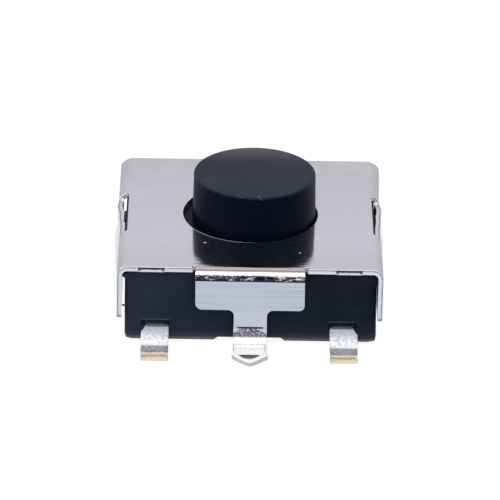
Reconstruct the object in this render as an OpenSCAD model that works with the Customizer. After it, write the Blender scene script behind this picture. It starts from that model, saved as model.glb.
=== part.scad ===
// Tactile push button switch for surface mounting, in the 6 mm class, 3.1 mm high.
// It has four signal terminals, and a ground terminal that is folded out of its sheet-metal cover.
// Millimetres. The front, with the ground terminal, is -Y, and up is +Z.
// The origin is on the axis of the cover's hole, on the plane where the solder feet stand.

/* [Moulded base] */
// Depth of the base, front to back
base_d = 6.0; // [5.6:0.1:7]
// Height of the base, from its underside to the face that the cover sits on
base_h = 1.85; // [1.75:0.01:2.1]
// Height of the base's underside above the solder plane
standoff = 0.05; // [0.02:0.01:0.1]
// Height of the bevel along the lower edges of the base
foot_bevel_h = 0.1; // [0.02:0.01:0.15]
// How far that bevel runs in under the base
foot_bevel_in = 0.05; // [0.02:0.01:0.15]
// Extra size of the bevel along the two upper side edges, over the inside radius of the cover's bends
crown_clear = 0.01; // [0.01:0.01:0.1]
// Radius of the base's four upright corners
base_corner_r = 0.12; // [0.05:0.01:0.3]
// Width of the shallow notch in the underside, behind the ground terminal
notch_w = 1.5; // [1:0.1:2]
// Height of that notch
notch_h = 0.1; // [0.03:0.01:0.15]
// How far that notch runs in from the wall
notch_in = 0.7; // [0.2:0.1:1]
// Height of the small recess in the wall above each signal terminal
recess_h = 0.18; // [0.05:0.01:0.3]
// Depth of that recess
recess_in = 0.12; // [0.04:0.01:0.2]

/* [Pocket of the base] */
// Clearance round the contact dome in the lower pocket
dome_clear = 0.05; // [0.02:0.01:0.08]
// Clearance round the plunger's flange in the upper pocket
flange_clear = 0.2; // [0.15:0.01:0.25]
// Gap between the ledge of the pocket and the flange when the plunger is pressed
ledge_gap = 0.22; // [0.1:0.01:0.3]

/* [Side latches] */
// Length of the latch nub on each side wall of the base
nub_len = 1.0; // [0.6:0.1:1.2]
// Height of the nub, from its lower edge to where its slope meets the wall
nub_h = 0.8; // [0.5:0.05:0.9]
// Height from the strap's upper edge down to the top of the nub
nub_drop = 0.03; // [0:0.01:0.1]
// Clearance between the nub and the cover's strap
nub_gap = 0.02; // [0.01:0.01:0.05]

/* [Cover] */
// Thickness of the stainless sheet
sheet_t = 0.12; // [0.1:0.01:0.15]
// Inside radius of the bends between the plate and its walls
bend_r = 0.13; // [0.1:0.01:0.18]
// Gap between each side wall of the cover and the base
side_gap = 0.07; // [0.03:0.01:0.1]
// How far the plate reaches past the front and back of the base
plate_over = 0.08; // [0.03:0.01:0.12]
// Height of the side walls, from the top of the plate to their lower edge
wall_h = 1.36; // [1.2:0.02:1.6]
// Clearance round the plunger in the hole
hole_gap = 0.13; // [0.08:0.01:0.2]

/* [Straps of the cover] */
// Length of the strap that bows over each latch nub
strap_len = 1.94; // [1.6:0.02:2.4]
// How far the middle of the strap bows out of the wall
strap_bow = 0.12; // [0.06:0.01:0.15]
// Height from the top of the plate down to the strap's upper edge
strap_drop = 0.22; // [0.2:0.01:0.3]
// Width of the slit above the strap, from the wall's outer face inwards
slit_w = 0.19; // [0.15:0.01:0.22]

/* [Flaps of the cover] */
// Width of the front and back flaps
flap_w = 2.61; // [2:0.01:3.2]
// Height of the flaps, from the top of the plate to their lower edge
flap_h = 1.03; // [0.8:0.01:1.2]
// Gap between the flaps and the base
flap_gap = 0.14; // [0.08:0.01:0.2]
// Radius of the flaps' lower corners, and of the fillets where the ground leg starts
flap_corner_r = 0.15; // [0.05:0.01:0.2]
// Width of the relief cut on each side of a flap
relief_w = 0.05; // [0.03:0.01:0.08]
// How far the relief cuts run past the start of the bend
relief_past = 0.03; // [0.01:0.01:0.06]
// Width of the leg of the ground terminal
leg_w = 0.8; // [0.6:0.02:1]
// Inside radius of the bend between the leg and its solder foot
leg_bend_r = 0.08; // [0.05:0.01:0.15]
// How far the ears of that foot stand out past each side of the leg
foot_ear = 0.03; // [0.01:0.01:0.08]
// Length of the straight side of these ears
foot_ear_len = 0.06; // [0.02:0.01:0.1]
// Radius of the tip of that foot, where its two sloping edges meet
foot_tip_r = 0.15; // [0.05:0.01:0.3]
// How far that foot reaches out of the front flap
ground_reach = 0.97; // [0.8:0.01:1.2]
// Distance from the middle to each stub where the carrier strip was cut off
stub_x = 2.35; // [2.2:0.01:2.5]
// Width of these stubs
stub_w = 0.61; // [0.3:0.01:0.7]
// How far they stand out of the plate's front edge
stub_out = 0.04; // [0.02:0.01:0.08]
// Thickness that the shear left on them
stub_t = 0.08; // [0.05:0.01:0.09]

/* [Terminal frames] */
// Distance between the centre lines of the left and the right terminals
pitch = 4.5; // [4.4:0.02:4.8]
// Plastic between a terminal frame and the side wall of the base
rail_side = 0.395; // [0.3:0.005:0.6]
// Width of a terminal
term_w = 0.67; // [0.5:0.01:0.75]
// Thickness of the terminal sheet
term_t = 0.24; // [0.15:0.01:0.25]
// How far a terminal reaches out of the base
term_reach = 1.01; // [0.95:0.01:1.4]
// Length of the flat part of its solder foot
term_foot = 0.34; // [0.25:0.01:0.4]
// Inside radius of the two bends of a terminal
term_bend_r = 0.12; // [0.08:0.01:0.14]
// How much narrower a terminal is on its outer side, inside the base
term_step = 0.11; // [0.05:0.01:0.15]
// Length over which it widens again outside the wall
term_flare = 0.2; // [0.1:0.01:0.25]
// Plastic between the frames and the underside of the base
rail_cover = 0.13; // [0.08:0.01:0.15]
// How far the contact ring stands out of the pocket's floor
ring_proud = 0.05; // [0.02:0.01:0.08]
// Width of the contact ring's track
ring_w = 0.38; // [0.25:0.01:0.5]
// Angle that the contact ring leaves open for the centre contact's tongue
ring_open = 100; // [60:5:140]
// Gap between the ring and the side of the lower pocket
ring_gap = 0.02; // [0.01:0.01:0.04]
// Width of the tongue that carries the centre contact
tongue_w = 0.7; // [0.5:0.05:0.9]
// Thickness that the tongue is coined down to
tongue_t = 0.12; // [0.08:0.01:0.14]
// Diameter of the centre contact
contact_d = 0.7; // [0.5:0.05:0.9]

/* [Contact dome] */
// Diameter of the snap dome
dome_d = 3.7; // [3.4:0.02:3.7]
// Height of the dome's hollow side above its rim
dome_rise = 0.3; // [0.28:0.01:0.35]
// Thickness of the dome's sheet
dome_t = 0.06; // [0.05:0.01:0.08]
// Gap between the pressed dome and the centre contact
contact_gap = 0.01; // [0.01:0.01:0.02]

/* [Plunger] */
// Height of the whole switch, from the solder plane to the top of the plunger
total_h = 3.1; // [2.8:0.1:5]
// Diameter of the plunger where it comes out of the cover
plunger_d = 3.0; // [2.8:0.02:3.2]
// How much smaller its diameter is at the top
plunger_draft = 0.05; // [0.02:0.01:0.1]
// Radius of its top edge
plunger_edge_r = 0.12; // [0.05:0.01:0.25]
// How far the flange reaches past the rim of the hole, under the cover
flange_lap = 0.42; // [0.3:0.01:0.5]
// Thickness of the flange
flange_t = 0.45; // [0.3:0.01:0.5]
// Play between the flange and the cover
flange_play = 0.01; // [0.01:0.01:0.02]
// Diameter of the nub that presses on the dome
press_nub_d = 1.1; // [0.8:0.05:1.5]
// Gap between this nub and the dome
press_gap = 0.01; // [0.01:0.01:0.02]
// Gap left on the right, where the plunger leans towards the rim of the hole
lean_gap = 0.04; // [0.02:0.01:0.08]
// Travel of the plunger
travel = 0.25; // [0.15:0.01:0.25]

/* [Hidden] */
$fn = 96;

// Widths and diameters that follow from what they hold
base_w = pitch + term_w + 2 * rail_side;
hole_d = plunger_d + 2 * hole_gap;
flange_d = hole_d + 2 * flange_lap;
flange_pocket_d = flange_d + 2 * flange_clear;
dome_pocket_d = dome_d + 2 * dome_clear;
crown_bevel = bend_r + crown_clear;
foot_half = leg_w / 2 + foot_ear;
plunger_off = hole_gap - lean_gap;

// Heights above the solder plane
rail_low = standoff + rail_cover;
rail_top = rail_low + term_t;
floor_z = rail_top - ring_proud;
seat_z = standoff + base_h;
plate_z = seat_z + sheet_t;
dome_top = rail_top + dome_rise + dome_t;
contact_top = rail_top + dome_rise - travel - contact_gap;
flange_top = seat_z - flange_play;
flange_low = flange_top - flange_t;
ledge_z = flange_low - travel - ledge_gap;
wall_low = plate_z - wall_h;
strap_top = plate_z - strap_drop;
flap_low = plate_z - flap_h;

// Cover: where its faces lie, and the outer radius of its bends
wall_x = base_w / 2 + side_gap + sheet_t;
plate_y = base_d / 2 + plate_over;
flap_y = base_d / 2 + flap_gap + sheet_t;
bend_out = bend_r + sheet_t;
bend_y = flap_y - bend_out;
leg_bend_out = leg_bend_r + sheet_t;
ground_tip = flap_y + ground_reach;
foot_side = foot_half - foot_tip_r * (sqrt(2) - 1);

// Strap: the radius that gives its bow, and its bow over the end of the nub
strap_r = (pow(strap_len / 2, 2) + pow(strap_bow, 2)) / (2 * strap_bow);
nub_bow = strap_bow - strap_r + sqrt(pow(strap_r, 2) - pow(nub_len / 2, 2));

// Terminals: centre line radius of the two bends, their angle, and their length along the terminal
term_mid_r = term_bend_r + term_t / 2;
term_angle = acos(1 - rail_low / (2 * term_mid_r));
term_run = 2 * term_mid_r * sin(term_angle);
term_tip = base_d / 2 + term_reach;
shoulder_y = term_tip - term_foot - term_run;
term_x = pitch / 2;
ring_r = dome_pocket_d / 2 - ring_gap;

// Dome: the radius of its hollow side
dome_r = (pow(dome_d / 2, 2) + pow(dome_rise, 2)) / (2 * dome_rise);

// Overlap that joins the pieces of one solid, and the extra length of a cutting shape
weld = 0.02;
past = 0.5;

// A flat shape drawn in depth and height, given a width across the switch
module across(w) {
    rotate([90, 0, 90])
        linear_extrude(height = w, center = true)
            children();
}

// A flat shape drawn in width and height, given a depth from its own plane towards the back
module backwards(d) {
    translate([0, d, 0])
        rotate([90, 0, 0])
            linear_extrude(height = d)
                children();
}

// The same on the left and on the right
module both_sides() {
    children();
    mirror([1, 0, 0])
        children();
}

// The same at the back and at the front
module both_ends() {
    children();
    mirror([0, 1, 0])
        children();
}

// Part of a flat ring between two radii, from one angle to another, up to half a turn
module ring_part(inner, outer, from, to) {
    reach = 3 * outer;
    middle = (from + to) / 2;
    intersection() {
        difference() {
            circle(r = outer);
            circle(r = inner);
        }
        polygon([
            [0, 0],
            [reach * cos(from), reach * sin(from)],
            [reach * cos(middle), reach * sin(middle)],
            [reach * cos(to), reach * sin(to)]
        ]);
    }
}

// Flat rectangle with four round corners
module round_rect(w, d, r) {
    square([w - 2 * r, d], center = true);
    square([w, d - 2 * r], center = true);
    for (x = [-1, 1], y = [-1, 1])
        translate([x * (w / 2 - r), y * (d / 2 - r)])
            circle(r = r);
}

// Section of the base, with bevels on its lower edges and, if asked for, on its upper ones
module bevelled_section(w, upper) {
    h = w / 2;
    polygon([
        [-h + foot_bevel_in, standoff],
        [h - foot_bevel_in, standoff],
        [h, standoff + foot_bevel_h],
        [h, seat_z - upper],
        [h - upper, seat_z],
        [-h + upper, seat_z],
        [-h, seat_z - upper],
        [-h, standoff + foot_bevel_h]
    ]);
}

module base_block() {
    intersection() {
        linear_extrude(height = seat_z)
            round_rect(base_w, base_d, base_corner_r);
        translate([0, -base_d / 2 - past, 0])
            backwards(base_d + 2 * past)
                bevelled_section(base_w, crown_bevel);
        across(base_w + 2 * past)
            bevelled_section(base_d, 0);
    }
}

// Wedge on the right wall that the strap of the cover snaps over
module latch_nub() {
    wall = base_w / 2;
    out = wall + side_gap + nub_bow - nub_gap;
    top = strap_top - nub_drop;
    low = top - nub_h;
    translate([0, -nub_len / 2, 0])
        backwards(nub_len)
            polygon([
                [wall - weld, low],
                [wall, low],
                [out, low + nub_h / 4],
                [out, low + nub_h / 2],
                [wall, top],
                [wall - weld, top]
            ]);
}

// Notch in the underside, at the back: its ends slope at 45 degrees
module underside_notch() {
    top = standoff + notch_h;
    half = notch_w / 2;
    translate([0, base_d / 2 - notch_in, 0])
        backwards(notch_in + past)
            polygon([
                [-half - notch_h - past, standoff - past],
                [half + notch_h + past, standoff - past],
                [half, top],
                [-half, top]
            ]);
}

// Recess in the back wall above a terminal, deepest at the terminal
module terminal_recess() {
    wall = base_d / 2;
    across(term_w)
        polygon([
            [wall - recess_in, rail_top],
            [wall + past, rail_top],
            [wall + past, rail_top + recess_h],
            [wall, rail_top + recess_h],
            [wall - recess_in, rail_top + recess_h / 2]
        ]);
}

module base() {
    color("#1a2530")
        difference() {
            union() {
                base_block();
                both_sides()
                    latch_nub();
            }
            translate([0, 0, floor_z])
                cylinder(d = dome_pocket_d, h = base_h);
            translate([0, 0, ledge_z])
                cylinder(d = flange_pocket_d, h = base_h);
            both_ends() {
                underside_notch();
                both_sides()
                    translate([term_x, 0, 0])
                        terminal_recess();
            }
            left_frame();
            right_frame();
        }
}

// Side view of one end of a terminal: the shoulder, two bends and the solder foot
module gull_wing() {
    half_t = term_t / 2;
    translate([0, rail_low])
        square([shoulder_y, term_t]);
    translate([shoulder_y, rail_low + half_t - term_mid_r])
        ring_part(term_bend_r, term_bend_r + term_t, 90 - term_angle, 90);
    translate([shoulder_y + term_run, half_t + term_mid_r])
        ring_part(term_bend_r, term_bend_r + term_t, 270 - term_angle, 270);
    translate([shoulder_y + term_run, 0])
        square([term_foot, term_t]);
}

// Rail along the right side, with a terminal at each end
module terminal_rail() {
    inner = term_w / 2 - term_step;
    outer = term_w / 2 + past;
    wall = base_d / 2;
    translate([term_x, 0, 0])
        difference() {
            across(term_w) {
                gull_wing();
                mirror([1, 0])
                    gull_wing();
            }
            translate([0, 0, rail_low - past])
                linear_extrude(height = term_t + 2 * past)
                    polygon([
                        [inner, -wall],
                        [inner, wall],
                        [term_w / 2, wall + term_flare],
                        [outer, wall + term_flare],
                        [outer, -wall - term_flare],
                        [term_w / 2, -wall - term_flare]
                    ]);
        }
}

// Frame of the left terminals, with the centre contact on a coined tongue
module left_frame() {
    mirror([1, 0, 0])
        terminal_rail();
    translate([-term_x, -tongue_w / 2, rail_low])
        cube([term_x, tongue_w, tongue_t]);
    translate([0, 0, rail_low])
        cylinder(d = contact_d, h = contact_top - rail_low);
}

// Frame of the right terminals, with the open ring that the dome's rim stands on
module right_frame() {
    end = 180 - ring_open / 2;
    terminal_rail();
    translate([0, 0, rail_low])
        linear_extrude(height = term_t) {
            ring_part(ring_r - ring_w, ring_r, 0, end / 2);
            ring_part(ring_r - ring_w, ring_r, end / 2, end);
            ring_part(ring_r - ring_w, ring_r, -end, -end / 2);
            ring_part(ring_r - ring_w, ring_r, -end / 2, 0);
            translate([ring_r - ring_w / 2, -term_w / 2])
                square([term_x - ring_r + ring_w / 2, term_w]);
        }
}

module terminal_left() {
    color("#d9dade")
        left_frame();
}

module terminal_right() {
    color("#d9dade")
        right_frame();
}

// Thin snap disc: a cap of a hollow ball
module contact_dome() {
    color("#c8cacc")
        translate([0, 0, rail_top + dome_rise - dome_r])
            intersection() {
                difference() {
                    sphere(r = dome_r + dome_t);
                    sphere(r = dome_r);
                }
                translate([0, 0, dome_r - dome_rise])
                    cylinder(d = dome_d, h = dome_rise + 2 * dome_t);
            }
}

// Half section of the plunger, from the press nub up to the round top edge
module plunger_section() {
    low = dome_top + press_gap;
    top_r = plunger_d / 2 - plunger_draft / 2;
    polygon([
        [0, low],
        [press_nub_d / 2, low],
        [press_nub_d / 2, flange_low],
        [flange_d / 2, flange_low],
        [flange_d / 2, flange_top],
        [plunger_d / 2, flange_top],
        [top_r, total_h - plunger_edge_r],
        [top_r - plunger_edge_r, total_h - plunger_edge_r],
        [top_r - plunger_edge_r, total_h],
        [0, total_h]
    ]);
    translate([top_r - plunger_edge_r, total_h - plunger_edge_r])
        intersection() {
            circle(r = plunger_edge_r);
            square(plunger_edge_r);
        }
}

module plunger() {
    color("#20252d")
        translate([plunger_off, 0, 0])
            rotate_extrude()
                plunger_section();
}

// Section of a channel that is open below, with two round upper corners
module channel(w, top, low, r) {
    translate([-w / 2, low])
        square([w, top - r - low]);
    translate([-w / 2 + r, low])
        square([w - 2 * r, top - low]);
    for (x = [-1, 1])
        translate([x * (w / 2 - r), top - r])
            circle(r = r);
}

// Plate with the two side walls, bent as one channel
module cover_channel() {
    translate([0, -plate_y, 0])
        backwards(2 * plate_y)
            difference() {
                channel(2 * wall_x, plate_z, wall_low, bend_out);
                channel(2 * (wall_x - sheet_t), seat_z, wall_low - past, bend_r);
            }
}

// Strap of the right wall, an arc in plan that bows outwards
module strap() {
    intersection() {
        translate([wall_x + strap_bow - strap_r, 0, wall_low])
            difference() {
                cylinder(r = strap_r, h = strap_top - wall_low, $fn = 360);
                translate([0, 0, -past])
                    cylinder(r = strap_r - sheet_t, h = wall_h + 2 * past, $fn = 360);
            }
        translate([wall_x - 2 * sheet_t, -strap_len / 2 - weld, 0])
            cube([2 * sheet_t + strap_bow, strap_len + 2 * weld, plate_z]);
    }
}

// Outline of a flap's flat face, drawn in width and height
module flap_face() {
    r = flap_corner_r;
    half = flap_w / 2;
    translate([-half, flap_low + r])
        square([flap_w, plate_z - bend_out - flap_low - r]);
    translate([-half + r, flap_low])
        square([flap_w - 2 * r, 2 * r]);
    for (x = [-1, 1])
        translate([x * (half - r), flap_low + r])
            circle(r = r);
}

// Outline of the ground leg, with the fillets under the flap
module leg_face() {
    r = flap_corner_r;
    low = leg_bend_out;
    translate([-leg_w / 2, low])
        square([leg_w, flap_low + r - low]);
    difference() {
        translate([-leg_w / 2 - r, flap_low - r])
            square([leg_w + 2 * r, r + weld]);
        for (x = [-1, 1])
            translate([x * (leg_w / 2 + r), flap_low - r])
                circle(r = r);
    }
}

// Flap at the back: its strip of the plate, its bend and its flat face
module flap() {
    strip_y = bend_y - relief_past - weld;
    translate([-flap_w / 2, strip_y, seat_z])
        cube([flap_w, bend_y - strip_y, sheet_t]);
    across(flap_w)
        translate([bend_y, plate_z - bend_out])
            ring_part(bend_r, bend_out, 0, 90);
    translate([0, flap_y - sheet_t, 0])
        backwards(sheet_t)
            flap_face();
}

// Outline of the ground foot's end: two ears, two edges that slope at 45 degrees, and a round tip
module foot_end() {
    touch = foot_tip_r * sin(45);
    translate([0, ground_tip]) {
        polygon([
            [-foot_half, -foot_side - foot_ear_len],
            [foot_half, -foot_side - foot_ear_len],
            [foot_half, -foot_side],
            [touch, touch - foot_tip_r],
            [-touch, touch - foot_tip_r],
            [-foot_half, -foot_side]
        ]);
        translate([0, -foot_tip_r])
            circle(r = foot_tip_r);
    }
}

// Ground terminal, drawn at the back: the leg, its bend and its pointed solder foot
module ground_terminal() {
    ear_y = ground_tip - foot_side - foot_ear_len;
    translate([0, flap_y - sheet_t, 0])
        backwards(sheet_t)
            leg_face();
    across(leg_w)
        translate([flap_y + leg_bend_r, leg_bend_out])
            ring_part(leg_bend_r, leg_bend_out, 180, 270);
    linear_extrude(height = sheet_t) {
        translate([-leg_w / 2, flap_y + leg_bend_r])
            square([leg_w, ear_y - flap_y - leg_bend_r + weld]);
        foot_end();
    }
}

// Stub of the carrier strip on the right half of the front edge
module carrier_stub() {
    translate([stub_x - stub_w / 2, -plate_y - stub_out, seat_z])
        cube([stub_w, stub_out + weld, stub_t]);
}

// One stamping of stainless sheet
module cover() {
    relief_half = flap_w / 2 + relief_w;
    color("#c9cacf") {
        difference() {
            cover_channel();
            cylinder(d = hole_d, h = plate_z + past);
            both_sides()
                translate([wall_x - slit_w, -strap_len / 2, 0])
                    cube([slit_w + past, strap_len, plate_z + past]);
            both_ends()
                translate([-relief_half, bend_y - relief_past, 0])
                    cube([2 * relief_half, flap_gap + past, plate_z + past]);
        }
        both_sides() {
            strap();
            carrier_stub();
        }
        both_ends()
            flap();
        mirror([0, 1, 0])
            ground_terminal();
    }
}

base();
terminal_left();
terminal_right();
contact_dome();
plunger();
cover();
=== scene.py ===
import math

import bmesh
import bpy
import numpy as np
from mathutils import Matrix, Vector
from mathutils.geometry import delaunay_2d_cdt


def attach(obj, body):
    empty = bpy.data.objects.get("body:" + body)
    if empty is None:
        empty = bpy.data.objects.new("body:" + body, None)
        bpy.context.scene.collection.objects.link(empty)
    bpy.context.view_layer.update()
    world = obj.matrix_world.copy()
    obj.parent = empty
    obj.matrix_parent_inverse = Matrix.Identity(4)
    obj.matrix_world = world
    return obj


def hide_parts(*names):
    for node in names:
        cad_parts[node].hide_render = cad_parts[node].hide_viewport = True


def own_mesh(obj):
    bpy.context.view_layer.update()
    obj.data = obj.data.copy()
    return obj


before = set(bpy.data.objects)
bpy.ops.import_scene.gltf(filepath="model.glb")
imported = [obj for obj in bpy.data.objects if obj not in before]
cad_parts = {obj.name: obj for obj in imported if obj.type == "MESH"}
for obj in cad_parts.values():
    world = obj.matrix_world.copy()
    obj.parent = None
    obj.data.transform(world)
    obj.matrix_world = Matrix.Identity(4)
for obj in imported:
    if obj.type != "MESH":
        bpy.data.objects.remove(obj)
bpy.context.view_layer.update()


# The table the switch stands on, the light and the camera.
# A pale table with an even white room round it, which bright metal mirrors, and soft lamps from the left
# and the right. The camera looks down on the front of the switch from 26 degrees.
def linear(hex_colour):
    """Turn an sRGB hex colour such as '#c3c2cd' into linear red, green, blue, alpha."""
    levels = [int(hex_colour[i:i + 2], 16) / 255 for i in (1, 3, 5)]
    return [v / 12.92 if v <= 0.04045 else ((v + 0.055) / 1.055) ** 2.4 for v in levels] + [1.0]


def add(tree, kind, inputs=None, stops=(), **settings):
    """Add one node: its settings, the stops of a colour ramp, and its inputs by name or number. An input
    is a value, a colour as sRGB hex, a socket of another node, or another node for its first output."""
    made = tree.nodes.new(kind)
    for name, value in settings.items():
        setattr(made, name, value)
    if stops:
        specks_and_lip_highlight = made.color_ramp.elements
        while len(specks_and_lip_highlight) < len(stops):
            specks_and_lip_highlight.new(0.5)
        for mark, (position, colour) in zip(specks_and_lip_highlight, stops):
            mark.position = position
            mark.color = linear(colour)
    for key, value in (inputs or {}).items():
        if isinstance(value, bpy.types.Node):
            value = next(socket for socket in value.outputs if socket.enabled)
        if isinstance(value, bpy.types.NodeSocket):
            tree.links.new(value, made.inputs[key])
        else:
            made.inputs[key].default_value = linear(value) if isinstance(value, str) else value
    return made


def seen_directly(tree):
    """1 for what the camera sees, also by way of a reflection or through something clear, else 0."""
    path = add(tree, "ShaderNodeLightPath")
    both = add(tree, "ShaderNodeMath", {0: path.outputs["Is Camera Ray"], 1: path.outputs["Is Glossy Ray"]},
               operation="ADD")
    return add(tree, "ShaderNodeMath", {0: both, 1: path.outputs["Is Transmission Ray"]}, operation="ADD",
               use_clamp=True)


room = bpy.data.worlds.new("white_room")
room.use_nodes = True
tree = room.node_tree
tree.nodes.clear()
soft_fill = add(tree, "ShaderNodeBackground", {"Color": "#ffffff", "Strength": 0.85})
white_wall = add(tree, "ShaderNodeBackground", {"Color": "#ffffff"})
either = add(tree, "ShaderNodeMixShader", {0: seen_directly(tree), 1: soft_fill, 2: white_wall})
add(tree, "ShaderNodeOutputWorld", {"Surface": either})
bpy.context.scene.world = room

# White card, matt: it keeps a faint shadow of the switch, and throws light back under it.
card = bpy.data.materials.new("white_card_matt")
card.use_nodes = True
tree = card.node_tree
tree.nodes.clear()
card_bounce = add(tree, "ShaderNodeBsdfDiffuse", {"Color": "#e7e7e7"})
card_glow = add(tree, "ShaderNodeEmission", {"Color": "#ffffff", "Strength": 0.90})
card_shade = add(tree, "ShaderNodeBsdfDiffuse", {"Color": "#6a6a6a"})
card_seen = add(tree, "ShaderNodeAddShader", {0: card_glow, 1: card_shade})
either = add(tree, "ShaderNodeMixShader", {0: seen_directly(tree), 1: card_bounce, 2: card_seen})
add(tree, "ShaderNodeOutputMaterial", {"Surface": either})

table_mesh = bpy.data.meshes.new("table")
table_mesh.from_pydata([(-1, -1, 0), (1, -1, 0), (1, 1, 0), (-1, 1, 0)], [], [(0, 1, 2, 3)])
table_mesh.materials.append(card)
table = bpy.data.objects.new("table", table_mesh)
bpy.context.collection.objects.link(table)

# Soft boxes: name, direction they shine from, distance, width and height in metres, power in watts
for name, towards, away, wide, high, power in (
        ("soft_box_left", (-0.72, -0.42, 0.62), 0.30, 0.20, 0.20, 0.26),
        ("soft_box_right", (0.70, -0.45, 0.75), 0.34, 0.20, 0.16, 0.12),
        ("soft_box_above", (0.0, -0.45, 1.0), 0.36, 0.26, 0.16, 0.14)):
    lamp = bpy.data.lights.new(name, "AREA")
    lamp.shape = "RECTANGLE"
    lamp.size = wide
    lamp.size_y = high
    lamp.energy = power
    stand = bpy.data.objects.new(name, lamp)
    way = Vector(towards).normalized()
    stand.matrix_world = Matrix.Translation(way * away) @ way.to_track_quat("Z", "Y").to_matrix().to_4x4()
    bpy.context.collection.objects.link(stand)

# Camera: height angle, turn and roll in degrees, then its distance from the point it looks at, and how high
# that point is over the table, in metres. The focal length and the optical centre are in pixels of a
# picture 500 pixels wide.
RISE, TURN, ROLL = 26.049, -0.557, 1.170
FAR, AIM_HEIGHT = 0.105739, 0.001
PICTURE, FOCAL, CENTRE_ACROSS, CENTRE_DOWN = 500, 4325.553, 249.543, 250.246
SENSOR = 36
rise, turn, roll = (math.radians(a) for a in (RISE, TURN, ROLL))
back_to_camera = Vector((math.sin(turn) * math.cos(rise), -math.cos(turn) * math.cos(rise), math.sin(rise)))
level = (-back_to_camera).cross(Vector((0, 0, 1))).normalized()
upright = level.cross(-back_to_camera)
across = level * math.cos(roll) + upright * math.sin(roll)
upwards = upright * math.cos(roll) - level * math.sin(roll)
lens = bpy.data.cameras.new("long_lens")
lens.sensor_width = SENSOR
lens.lens = FOCAL * SENSOR / PICTURE
lens.shift_x = (PICTURE / 2 - CENTRE_ACROSS) / PICTURE
lens.shift_y = (CENTRE_DOWN - PICTURE / 2) / PICTURE
lens.clip_start = 0.001
camera = bpy.data.objects.new("camera", lens)
camera.matrix_world = Matrix.Translation(Vector((0, 0, AIM_HEIGHT)) + back_to_camera * FAR) @ Matrix(
    (across, upwards, back_to_camera)).transposed().to_4x4()
bpy.context.collection.objects.link(camera)
bpy.context.scene.camera = camera
bpy.context.scene.view_settings.view_transform = "Standard"


# Base: the moulded housing, black glass-filled thermoplastic.
# It is moulded round the two terminal frames. Its walls are fine matt from the eroded mould, and every
# edge is a little round because the plastic never quite fills a sharp corner.
EDGE_ROUND = 0.018
SIDE_X, CORNER_X, CHAMFER_LOW, CHAMFER_TOP = 2.99, 2.86, 0.05, 0.15
CHAMFER_WIDER, CHAMFER_HIGHER, SIDE_OUT, SIDE_FOOT_OUT = 0.10, 0.055, 0.025, 0.035
NUB_BACK, LIP_Z = 0.36, 0.588
RIB_ROOT, RIB_TOP, RIB_SLOPE = 2.88, 1.80, 0.10


def plain_surface(name):
    """A new, empty node material, its tree, and the object coordinates in millimetres."""
    made = bpy.data.materials.new(name)
    made.use_nodes = True
    tree = made.node_tree
    tree.nodes.clear()
    place = add(tree, "ShaderNodeTexCoord")
    mm = add(tree, "ShaderNodeVectorMath", {0: place.outputs["Object"], 1: (1000, 1000, 1000)},
             operation="MULTIPLY")
    return made, tree, mm


def finish_piece(bm, name, material, body, node, sharp_angle=35):
    """Make an object of a mesh in millimetres, fasten it to its body and hide its CAD node. It is shaded
    smooth, with the edges that turn by more than the angle in degrees left sharp."""
    for face in bm.faces:
        face.smooth = True
    limit = math.radians(sharp_angle)
    for edge in bm.edges:
        edge.smooth = len(edge.link_faces) == 2 and edge.calc_face_angle(0) < limit
    mesh = bpy.data.meshes.new(name)
    bm.to_mesh(mesh)
    bm.free()
    mesh.transform(Matrix.Scale(0.001, 4))
    mesh.materials.clear()
    mesh.materials.append(material)
    piece = bpy.data.objects.new(name, mesh)
    bpy.context.collection.objects.link(piece)
    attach(piece, body)
    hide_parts(node)
    return piece


def zone(*limits):
    """A mask in the tree at hand that is 1 where all its limits hold, else 0. A limit is another mask, or a
    value with the lowest and the highest it may be and, if not 0.01, half the width of its soft ends."""
    mask = None
    for limit in limits:
        if isinstance(limit, tuple):
            value, low, high, soft = (limit + (0.01,))[:4]
            ends = [add(tree, "ShaderNodeMapRange",
                        {"Value": value, "From Min": end - way, "From Max": end + way})
                    for end, way in ((low, soft), (high, -soft))]
            limit = add(tree, "ShaderNodeMath", {0: ends[0], 1: ends[1]}, operation="MULTIPLY")
        if mask:
            limit = add(tree, "ShaderNodeMath", {0: mask, 1: limit}, operation="MULTIPLY")
        mask = limit
    return mask


def taken_from(holder):
    """The mesh that the modifiers of a helper object make, to work on. The helper object goes."""
    mesh = bpy.data.meshes.new_from_object(holder.evaluated_get(bpy.context.evaluated_depsgraph_get()))
    bpy.data.objects.remove(holder)
    bm = bmesh.new()
    bm.from_mesh(mesh)
    bmesh.ops.remove_doubles(bm, verts=bm.verts, dist=0.0002)
    return bm


def block(bm, low, high, soft=0.0):
    """Add a box between two corners, with its edges a little round if asked for."""
    made = bmesh.ops.create_cube(bm, size=1)["verts"]
    size = [h - l for l, h in zip(low, high)]
    bmesh.ops.scale(bm, vec=size, verts=made)
    bmesh.ops.translate(bm, vec=[(l + h) / 2 for l, h in zip(low, high)], verts=made)
    if soft:
        edges = list({e for v in made for e in v.link_edges})
        bmesh.ops.bevel(bm, geom=edges, offset=soft, segments=2, profile=0.5, affect="EDGES")
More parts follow.
